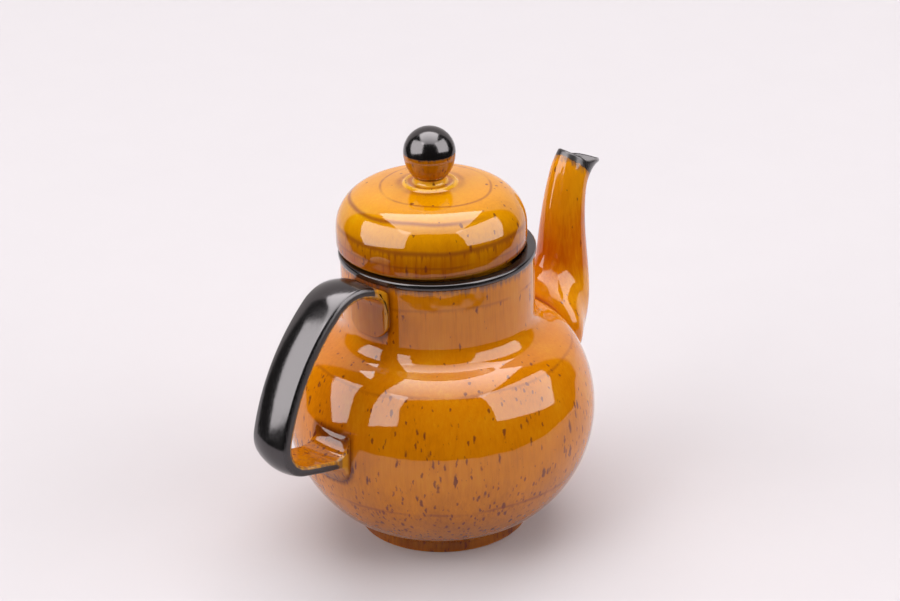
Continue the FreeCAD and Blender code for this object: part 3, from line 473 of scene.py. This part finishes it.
# The bulb's edge stays buried in the wall instead of lifting off its curve.
lifted = off_pot(outer.reshape(-1, 3)).reshape(stood_out.shape) - stood_out
held = ramp(stood_out, 6.0, 2.0)
outer -= wall_out * (lifted * held)[:, :, None]
half = (outer[-1] - inner[-1]) / 2
lip_way = spout_ring(np.array([lip_end]), 0.0)[1][0]
lip = []
for angle in np.radians(np.linspace(0, 180, 9))[1:-1]:
    rise = np.linalg.norm(half, axis=1)[:, None] * lip_way * (0.9 * math.sin(angle))
    lip.append((outer[-1] + inner[-1]) / 2 + half * math.cos(angle) + rise)
grid = np.concatenate([outer, np.array(lip), inner[::-1], outer[:1]])
rows, around = grid.shape[0] - 1, grid.shape[1]
faces = []
for r in range(rows):
    for k in range(around):
        n, up = (k + 1) % around, (r + 1) % rows
        faces.append((r * around + k, r * around + n, up * around + n, up * around + k))
spout = piece("spout_glazed", grid[:-1].reshape(-1, 3), faces)

# The dip line of the black glaze falls from the back of the lip to well under the beak.
at = spots(spout)
dip_point, dip_normal = np.array((90.0, 0.0, 162.9)), np.array((0.68, 0.0, 0.733))
mark(spout, "black", (at - dip_point) @ dip_normal)
thin_tip = ramp(at[:, 2], 110.0, 158.0) * (0.2 + 0.6 * np.tile(upper, rows))
mark(spout, "ridge", np.maximum(thin_tip, ramp(at[:, 2], 112.0, 92.0) * 0.6))
# Where the spout meets the wall its glaze gathers, and the darkening there is also painted shade.
mark(spout, "pool_and_shade", ramp(np.abs(off_pot(at)), 2.2, 0.2) * 0.8)
spout.data.materials.append(
    honey_glaze(
        "honey_glaze_on_spout",
        thin="#E2920A",
        honey="#C66402",
        thick_and_shaded="#7C3402",
        specks=(0.3, 0.1, 85.0, 110.0),
    )
)
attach(spout, "pot")
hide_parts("spout")

# HANDLE. A flat strap pulled from raw clay, bent to shape and luted to the neck and the belly, with a
# pad thumbed out at each end. Its outer face and edges were brushed with black glaze; the inside, which
# the fingers hold, kept the honey glaze of the dip.
strap_width, strap_thick, strap_crown, strap_rise, strap_lean = 24.0, 4.5, 2.6, 1.7, 0.03
outer_round, inner_round = 1.8, 1.2
crest, crest_curve, crest_slope = (63.8, 122.4), 23.0, 30.0
corner, corner_curve, corner_slope, run_curve = (96.8, 81.6), 17.0, 14.0, 103.0
pad_thick, pad_cove, pad_under, pad_round, buried = 2.2, 8.0, 4.0, 8.0, 3.0
upper_pad_end, lower_pad_low, lower_pad_high = 114.64, 48.7, 75.7
pads_apart, lower_pad_reach = 100, 12


def meeting(first, first_reach, second, second_reach):
    """Where two circles cross, on the right of the line between their middles."""
    way = np.subtract(second, first)
    apart = np.hypot(*way)
    along = (apart ** 2 + first_reach ** 2 - second_reach ** 2) / (2 * apart)
    across = -math.sqrt(first_reach ** 2 - along ** 2)
    return (
        first[0] + (along * way[0] - across * way[1]) / apart,
        first[1] + (along * way[1] + across * way[0]) / apart,
    )


def bearing(start, end):
    """The angle in degrees at which one point lies from another."""
    return math.degrees(math.atan2(end[1] - start[1], end[0] - start[0]))


def polar(centre, radius, angle):
    """The point at a radius and an angle in degrees from a centre."""
    return (
        centre[0] + radius * math.cos(math.radians(angle)),
        centre[1] + radius * math.sin(math.radians(angle)),
    )


def beside_line(point, angle, shift, centre, reach):
    """The point on a line, shifted sideways, that lies at a reach from a centre on its far side."""
    start = polar(point, shift, angle - 90)
    toward = (math.cos(math.radians(angle)), math.sin(math.radians(angle)))
    off = (start[0] - centre[0], start[1] - centre[1])
    middle = off[0] * toward[0] + off[1] * toward[1]
    step = math.sqrt(middle ** 2 - off[0] ** 2 - off[1] ** 2 + reach ** 2) - middle
    return (start[0] + step * toward[0], start[1] + step * toward[1])


def feathered(first, last, start, end):
    """The belly pad's face between two thicknesses, smoothed out on the wall."""
    share = np.linspace(0.0, 1.0, 40)
    angles = first + (last - first) * share
    heights = start + (end - start) * ramp(share, 0.0, 1.0)
    return [polar(belly, belly_curve + h, a) for h, a in zip(heights, angles)]


run = meeting(crest, run_curve - crest_curve, corner, run_curve - corner_curve)
crest_end, corner_start = bearing(run, crest), bearing(run, corner)
corner_end = corner_slope - 90
pad_face, inner_face, neck_face = belly_curve + pad_thick, belly_curve + 0.5, neck_radius + pad_thick
top_start = polar(crest, crest_curve, 90 + crest_slope)
top_drop = (top_start[0] - neck_radius + buried) * math.tan(math.radians(crest_slope))
top_in = (neck_radius - buried, top_start[1] - top_drop)
corner_outside = polar(corner, corner_curve, corner_end)
corner_inside = polar(corner, corner_curve - strap_thick, corner_end)
under_centre = beside_line(corner_outside, corner_slope, pad_under, belly, pad_face + pad_under)
cove_centre = beside_line(corner_inside, corner_slope, -pad_cove, belly, inner_face + pad_cove)
low_angle = math.degrees(math.asin((lower_pad_low - belly[1]) / pad_face))
high_angle = math.degrees(math.asin((lower_pad_high - belly[1]) / pad_face))
arch_reach, arch_across = crest_curve - strap_thick - pad_cove, crest[0] - neck_face - pad_cove
arch_centre = (neck_face + pad_cove, crest[1] + math.sqrt(arch_reach ** 2 - arch_across ** 2))
outer_half = (
    [top_in]
    + arc(crest, crest_curve, 90 + crest_slope, crest_end)
    + arc(run, run_curve, crest_end, corner_start)
    + arc(corner, corner_curve, corner_start, corner_end)
    + arc(under_centre, pad_under, 90 + corner_slope, 180 + bearing(belly, under_centre))
    + feathered(bearing(belly, under_centre), low_angle, pad_thick, 0.9)
    + [polar(belly, belly_curve - buried, low_angle - 0.3)]
)
inner_half = (
    [polar(belly, belly_curve - buried, high_angle + 0.3)]
    + feathered(bearing(belly, cove_centre), high_angle, 0.5, -0.5)[::-1]
    + arc(cove_centre, pad_cove, 180 + bearing(belly, cove_centre), 270 + corner_slope)
    + arc(corner, corner_curve - strap_thick, corner_end, corner_start)
    + arc(run, run_curve - strap_thick, corner_start, crest_end)
    + arc(crest, crest_curve - strap_thick, crest_end, bearing(crest, arch_centre))
    + arc(arch_centre, pad_cove, bearing(crest, arch_centre), 180)
    + [(neck_face, upper_pad_end), (neck_radius - buried, upper_pad_end)]
)


def in_step(half, stops, counts):
    """A fine half outline divided into so many steps between each pair of stops."""
    fine = eased(half, 0.5)
    marks = [int(((fine - np.array(stop)) ** 2).sum(axis=1).argmin()) for stop in stops]
    marks = [0] + marks + [len(fine) - 1]
    picked = [np.linspace(marks[k], marks[k + 1], n, endpoint=False) for k, n in enumerate(counts)]
    picked = np.concatenate(picked + [[marks[-1]]])
    return np.stack([np.interp(picked, np.arange(len(fine)), fine[:, k]) for k in (0, 1)], axis=1)


steps = (60, 44, 40, 30, 60)
bends = ((crest, crest_curve, 90 + crest_slope), (crest, crest_curve, crest_end))
bends += ((corner, corner_curve, corner_start), (corner, corner_curve, corner_end))
outer_line = in_step(outer_half, [polar(c, r, a) for c, r, a in bends], steps)
inner_stops = [polar(c, r - strap_thick, a) for c, r, a in bends]
inner_stops[0] = polar(crest, crest_curve - strap_thick, bearing(crest, arch_centre))
inner_line = in_step(inner_half[::-1], inner_stops, steps)
half_width = strap_width / 2
swing = np.radians(np.linspace(0, 90, 10))
sides = np.concatenate([half_width - outer_round * (1 - np.cos(swing)), np.linspace(8.5, 0.0, 9)])
sides = np.concatenate([sides, -sides[-2::-1]])
count = len(outer_line)


def outwards(line, turn):
    """Directions square to a line in side view, to its left with turn 1 and to its right with -1."""
    way = np.gradient(line, axis=0)
    way /= np.hypot(*way.T)[:, None]
    return np.stack([-way[:, 1], way[:, 0]], axis=1) * turn


def strap_row(line, out, size, crown, y):
    """One lengthwise run of the strap's outer or inner face, its edge rounded off by a size."""
    reach = abs(y)
    past = min(max(0.0, reach - (half_width - size)), size)
    inset = size - math.sqrt(max(0.0, size ** 2 - past ** 2))
    free = ramp(off_pot(np.stack([line[:, 0], 0 * line[:, 0], line[:, 1]], axis=1)), 2.0, 12.0)
    inset = inset + free * crown * ((reach / half_width) ** 2 + strap_lean * y - strap_rise / strap_crown)
    x, z = (line - out * np.reshape(inset, (-1, 1))).T
    past = max(0.0, reach - (half_width - pad_round))
    draw_back = pad_round - math.sqrt(pad_round ** 2 - past ** 2)
    # The pads' ends are tongues, which draw back towards their sides.
    on_neck = (z > pads_apart) & (x < neck_face + 0.6)
    on_belly = (z < pads_apart) & (x < belly[0] + pad_face)
    up, down = on_neck & (z < arch_centre[1]), on_belly & (z < under_centre[1])
    over = on_belly & (z > cove_centre[1])
    for there, start, length in (
        (up, arch_centre[1], arch_centre[1] - upper_pad_end),
        (down, under_centre[1], under_centre[1] - lower_pad_low),
        (over, cove_centre[1], lower_pad_reach),
    ):
        z = np.where(there, start + (z - start) * (1 - draw_back / length), z)
    # A pad is pressed to the wall behind it, so it bends round the pot.
    radius = np.where(z > pads_apart, neck_radius, belly[0] + belly_curve)
    grip = np.where(z > pads_apart, ramp(x, neck_face + 9, neck_face), ramp(x, 92.0, 79.0))
    bend = grip * (radius - np.sqrt(radius ** 2 - y * y))
    return np.stack([bend - x, np.full(len(x), y), z], axis=1)


outer_out, inner_out = outwards(outer_line, 1), outwards(inner_line, -1)
outer_rows = [strap_row(outer_line, outer_out, outer_round, strap_crown, y) for y in sides]
inner_rows = [strap_row(inner_line, inner_out, inner_round, 0.0, y) for y in sides]
loop = outer_rows + inner_rows[::-1]
faces = []
for r in range(len(loop)):
    n = (r + 1) % len(loop)
    for k in range(count - 1):
        faces.append((r * count + k, r * count + k + 1, n * count + k + 1, n * count + k))
for k in (0, count - 1):
    rim = [r * count + k for r in range(len(loop))]
    faces.append(tuple(rim if k == 0 else rim[::-1]))
handle = piece("handle_glazed", np.concatenate(loop), faces)
handle.data.set_sharp_from_angle(angle=math.radians(60))

at = spots(handle)
which = np.repeat([1.0] * len(sides) + [0.0] * len(sides), count)
across = np.repeat(np.abs(np.concatenate([sides, sides[::-1]])), count)
clear_of_neck = -at[:, 0] - neck_radius
# The brush left off 7 mm from the neck and 6.5 mm from the belly, and went just round the strap's edges.
well_inside, neck_border, belly_border = 6.0, 7.0, 6.5
at_edge = ramp(across, half_width - 1.5, half_width)
coat = np.where(which > 0.5, well_inside, at_edge * 2.0 - 3.0)
upper_end = np.where(at[:, 2] > pads_apart, clear_of_neck - neck_border, well_inside)
lower_end = np.where(at[:, 2] < 80, off_pot(at) - belly_border, well_inside)
mark(handle, "black", np.minimum(coat, np.minimum(upper_end, lower_end)))
mark(handle, "ridge", at_edge)
# Where the pads meet the wall the glaze gathers, and the darkening there is also painted shade.
mark(handle, "pool_and_shade", ramp(np.abs(off_pot(at)), 2.0, 0.2) * 0.8)
handle.data.materials.append(
    honey_glaze(
        "black_glaze_on_handle",
        thin="#D28E1A",
        honey="#BC6C04",
        thick_and_shaded="#6E3404",
        specks=(0.6, 0.5, 40.0, 140.0),
    )
)
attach(handle, "pot")
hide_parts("handle")

# Where spout and handle were luted on, the glaze on the wall gathers in the corner, which is also darkened
# as painted shade. The foot ring and the underside are darkened as painted shade under the belly, and the
# belly darkens towards the bottom, partly as glaze that ran down thicker and partly as painted shade.
joints = []
for luted in (spout, handle):
    luted_faces = [p.vertices[:] for p in luted.data.polygons]
    joints.append(BVHTree.FromPolygons(list(spots(luted)), luted_faces))
at = spots(pot)
gap = np.array([min(tree.find_nearest(Vector(p), 12.0)[3] or 12.0 for tree in joints) for p in at])
near_foot = ramp(np.hypot(at[:, 2] - foot_top, np.hypot(at[:, 0], at[:, 1]) - foot_radius), 5.0, 0.5)
below_foot = ramp(at[:, 2], foot_top + 2.0, foot_top)
lower = ramp(at[:, 2], 75.0, 10.0)
at_joint = ramp(gap, 2.6, 0.2) * 0.8
at_foot = np.maximum(near_foot * 0.1, below_foot * 0.3)
mark(pot, "pool_and_shade", np.maximum(at_joint, at_foot) + lower * 0.45)

# LID. A cast cap with a nearly flat crown, a tight shoulder, straight side and a flange that drops into
# the neck. It is loose, sits a little to one side on the rim, and shows turning lines on crown and side.
lid_axis, lid_radius, lid_seat, lid_top = (-0.6, 2.8), 45.5, 144.84, 176.74
lid_crown, lid_shoulder, lid_corner, lid_wall = 164.0, 19.8, 3.2, 4.0
flange_out, flange_in, flange_low = 38.5, 35.0, 135.84
crown_centre = (0.0, lid_top - lid_crown)
turn_radius = lid_radius - lid_shoulder
shoulder_height = crown_centre[1] + math.sqrt((lid_crown - lid_shoulder) ** 2 - turn_radius ** 2)
crown_angle = math.degrees(math.atan2(shoulder_height - crown_centre[1], turn_radius))
lid_outline = (
    arc(crown_centre, lid_crown - lid_wall, 90, crown_angle)
    + arc((turn_radius, shoulder_height), lid_shoulder - lid_wall, crown_angle, 0)
    + [(lid_radius - lid_wall, lid_seat + lid_wall), (flange_in, lid_seat + lid_wall)]
    + [(flange_in, flange_low), (flange_out, flange_low), (flange_out, lid_seat)]
    + arc((lid_radius - lid_corner, lid_seat + lid_corner), lid_corner, -90, 0)
    + arc((turn_radius, shoulder_height), lid_shoulder, 0, crown_angle)
    + arc(crown_centre, lid_crown, crown_angle, 90)
)
lid_outline = eased(lid_outline, 0.4)
lid_outline[:, 0] = np.maximum(lid_outline[:, 0], 0.0)
lid = turned("lid_glazed", thinned(lid_outline), axis=lid_axis)
at = spots(lid)
no_black = -20.0
mark(lid, "black", np.full(len(at), no_black))
mark(lid, "ridge", ramp(at[:, 2], lid_seat + 3.0, lid_seat + 0.5))
# The lid darkens towards its lower edge.
mark(lid, "pool_and_shade", ramp(at[:, 2], 169.0, 147.0) * 0.65)
lid.data.materials.append(
    honey_glaze(
        "honey_glaze_on_lid",
        thin="#DEA810",
        honey="#D48A02",
        thick_and_shaded="#983E00",
        specks=(0.22, 0.06, 145.0, 172.0),
        lines=(
            ((lid_axis[0] + 1.5, lid_axis[1] - 2.5), 26.5, 0, 1.1, 0.6, None),
            ((lid_axis[0] + 1.0, lid_axis[1] + 0.5), 39.0, 0, 1.5, 0.75, 175.0),
            # This broad ring darkens the lid round the foot of the knob.
            (lid_axis, 15.2, 0, 2.8, 0.4, None),
            (lid_axis, 0, 158.6, 2.0, 0.65, -135.0),
            (lid_axis, 0, 151.5, 1.0, 0.5, None),
        ),
    )
)
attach(lid, "lid")
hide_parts("lid")

# KNOB. A turned ball that tapers to a grooved waist on a rounded collar, luted on the lid's crown.
# Its upper half was dipped in black glaze; the rest kept the honey glaze, thick in the groove,
# which is darkened further as painted shade.
ball, ball_height, taper, ball_low, waist = 12.4, 191.54, 17.8, 180.55, 7.5
collar, collar_height, bead, knob_low = 12.7, 176.6, 0.8, 174.5
dip_height, groove_height = 191.9, 180.1
taper_angle = math.degrees(math.asin((ball_height - ball_low) / taper))
knob_outline = (
    [(0.0, knob_low), (collar + 2.2, knob_low + 0.9), (collar + 0.8, 176.2)]
    + arc((collar - bead, collar_height), bead, 20, 110)
    + [(10.2, 176.8), (8.8, 176.8), (waist + 0.3, 177.3)]
    + [(waist, 178.4), (waist, 179.4), (waist + 0.5, 179.8)]
    + arc((ball - taper, ball_height), taper, -taper_angle, 0)
    + arc((0.0, ball_height), ball, 0, 90)
)
knob_outline = eased(knob_outline, 0.3)
knob_outline[:, 0] = np.maximum(knob_outline[:, 0], 0.0)
knob = turned("lid_knob_glazed", thinned(knob_outline, reach=1.0), around=128, axis=lid_axis)
at = spots(knob)
out = np.hypot(at[:, 0] - lid_axis[0], at[:, 1] - lid_axis[1])
mark(knob, "black", at[:, 2] - dip_height)
thin_bead = np.maximum(ramp(np.abs(out - collar + bead), 2.0, 0.5), ramp(out, 9.0, 8.0))
mark(knob, "ridge", thin_bead * ramp(at[:, 2], 179.6, 178.8))
# The glaze gathers in the groove, and the groove is darkened there as painted shade too.
in_groove = ramp(np.abs(at[:, 2] - groove_height), 0.9, 0.2)
mark(knob, "pool_and_shade", in_groove + ramp(at[:, 2], 179.5, 181.0) * 0.25)
knob.data.materials.append(
    honey_glaze(
        "black_and_honey_glaze_on_knob",
        thin="#E8AA24",
        honey="#C47604",
        thick_and_shaded="#5E2C04",
        specks=(0.3, 0.5, 176.0, 190.0),
        waver=0.4,
    )
)
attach(knob, "lid")
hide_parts("lid_knob")

# TABLE. A sheet of pale pinkish paper that the pot stands on. It ends 335 mm in front of the pot's axis and
# runs far back, so that it fills the picture.
camera_turn = math.radians(45.4)
camera_way = Vector((-math.sin(camera_turn), -math.cos(camera_turn), 0.0))
camera_right = Vector((math.cos(camera_turn), -math.sin(camera_turn), 0.0))
paper_front, wider, longer, paper_corners = 335, 60, 1500, 96
edge = [Vector((0.0, 0.0, 0.0))]
for k in range(paper_corners):
    a = 2 * math.pi * k / paper_corners
    behind = -math.cos(a)
    reach = paper_front + float(wider * ramp(behind, -0.7, 0.1) + longer * ramp(behind, 0.25, 0.85))
    edge.append(camera_way * (reach * math.cos(a)) + camera_right * (reach * math.sin(a)))
paper_faces = [(0, 1 + k, 1 + (k + 1) % paper_corners) for k in range(paper_corners)]
paper = piece("paper_sheet", edge, paper_faces)
# Matt paper scatters light evenly and shows only a faint cloudiness, about 40 mm wide.
paper_face = bpy.data.materials.new("matt_paper")
paper_face.use_nodes = True
tree = paper_face.node_tree
tree.nodes.clear()
place = add(tree, "TexCoord", {})["Object"]
fibre = add(tree, "TexNoise", {"Vector": place, "Scale": 1000 / 40, "Detail": 4.0})[0]
tone = add(tree, "Mix", {0: fibre, 6: linear("#C9C4C7"), 7: linear("#CBC6C9")}, data_type="RGBA")[2]
add(tree, "OutputMaterial", {"Surface": add(tree, "BsdfDiffuse", {"Color": tone})[0]})
paper.data.materials.append(paper_face)

# STUDIO. Two soft boxes at the sides, one overhead, a light behind and a pale wall; the room in front is
# dark, and shows in the glaze as deep amber between the pale patches. The camera sees a pale backdrop.
world = bpy.data.worlds.new("studio_room")
world.use_nodes = True
bpy.context.scene.world = world
tree = world.node_tree
tree.nodes.clear()
look = add(tree, "TexCoord", {})["Generated"]
facing = add(tree, "VectorMath", {0: look, 1: tuple(camera_way)}, operation="DOT_PRODUCT")["Value"]
height = add(tree, "SeparateXYZ", {0: look})[2]
side = add(tree, "VectorMath", {0: look, 1: tuple(camera_right)}, operation="DOT_PRODUCT")["Value"]
side = add(tree, "Math", {0: side}, operation="ABSOLUTE")[0]
side = add(tree, "Math", {0: facing, 1: 1.3, 2: side}, operation="MULTIPLY_ADD")[0]
over = add(tree, "Math", {0: facing, 1: 3.3, 2: height}, operation="MULTIPLY_ADD")[0]
side = add(tree, "MapRange", {0: side, 1: 0.06, 2: -0.06}, interpolation_type="SMOOTHSTEP")[0]
over = add(tree, "MapRange", {0: over, 1: 0.06, 2: -0.06}, interpolation_type="SMOOTHSTEP")[0]
wall_share = add(tree, "Math", {0: side, 1: over}, operation="MULTIPLY")[0]
room = add(tree, "Mix", {0: wall_share, 6: linear("#221F1E"), 7: linear("#E2DADA")}, data_type="RGBA")[2]
ray = add(tree, "LightPath", {})
room = add(tree, "Mix", {0: ray["Is Camera Ray"], 6: room, 7: linear("#F0E9EB")}, data_type="RGBA")[2]
add(tree, "OutputWorld", {"Surface": add(tree, "Background", {"Color": room, "Strength": 1.0})[0]})


def soft_box(name, azimuth, elevation, wide, high, roll, away, level, mirrored, faded=1.0):
    """A lamp of a width and height in metres, seen from the pot at angles round from the camera and up. It
    is two lamps: one gives light at a level and isn't mirrored, and the other is only its face, as bright
    as it shows in the glaze. The first stands behind, because lamps in one place hide each other. Both may
    be faded at their lower edge."""
    behind = 0.1
    a, e = math.radians(azimuth), math.radians(elevation)
    level_way = camera_way * math.cos(a) + camera_right * math.sin(a)
    way = level_way * math.cos(e) + Vector((0, 0, math.sin(e)))
    turn = way.to_track_quat("Z", "Y").to_matrix() @ Matrix.Rotation(math.radians(roll), 3, "Z")
    for part, strength, distance in (("light", level, away + behind), ("face", mirrored, away)):
        lamp = bpy.data.lights.new(f"{name}_{part}", "AREA")
        lamp.shape, lamp.size, lamp.size_y = "RECTANGLE", wide, high
        lamp.energy = strength * math.pi * wide * high
        lamp.use_nodes = True
        face = lamp.node_tree
        face.nodes.clear()
        upward = add(face, "SeparateXYZ", {0: add(face, "NewGeometry", {})["Parametric"]})[1]
        glow = add(face, "MapRange", {0: upward, 1: 0.0, 2: 0.7, 3: faded, 4: 1.0})[0]
        add(face, "OutputLight", {"Surface": add(face, "Emission", {"Strength": glow})[0]})
        made = bpy.data.objects.new(lamp.name, lamp)
        bpy.context.collection.objects.link(made)
        made.matrix_world = Matrix.Translation(Vector((0, 0, 0.11)) + way * distance) @ turn.to_4x4()
        made.visible_camera = False
        made.visible_diffuse, made.visible_glossy = part == "light", part == "face"


soft_box("left_soft_box", -67.7, 28.4, 4.48, 3.64, 20.6, 4.0, level=2.85, mirrored=4.7)
soft_box("right_soft_box", 72.4, 29.0, 4.12, 3.26, -14.6, 4.0, level=2.75, mirrored=4.5)
soft_box("top_soft_box", 0, 86.5, 4.27, 4.30, 0, 3.5, level=2.65, mirrored=6.0, faded=0.3)
soft_box("back_light", 180, 50, 4.00, 3.00, 0, 4.0, level=1.3, mirrored=0.0)

# CAMERA. Placed by the outlines of neck, rim, belly and foot in the photograph: its distance from the pot's
# axis and its height in millimetres, and its angles in degrees.
away, up = 1132.06, 638.86
pitch, yaw, roll = (math.radians(angle) for angle in (24.822, 0.2824, -1.3646))
forward_flat = -camera_way
ahead = camera_right * (math.sin(yaw) * math.cos(pitch)) + forward_flat * (math.cos(yaw) * math.cos(pitch))
ahead = ahead - Vector((0, 0, math.sin(pitch)))
right = camera_right * math.cos(yaw) - forward_flat * math.sin(yaw)
over = right.cross(ahead)
right, over = (
    right * math.cos(roll) + over * math.sin(roll),
    over * math.cos(roll) - right * math.sin(roll),
)
lens = bpy.data.cameras.new("photo_camera")
lens.lens, lens.sensor_width, lens.sensor_fit = 103.888, 36.0, "HORIZONTAL"
camera = bpy.data.objects.new("photo_camera", lens)
bpy.context.collection.objects.link(camera)
stand = camera_way * (away * 0.001) + Vector((0, 0, up * 0.001))
camera.matrix_world = Matrix.Translation(stand) @ Matrix((right, over, -ahead)).transposed().to_4x4()
bpy.context.scene.camera = camera
bpy.context.scene.view_settings.view_transform = "Standard"
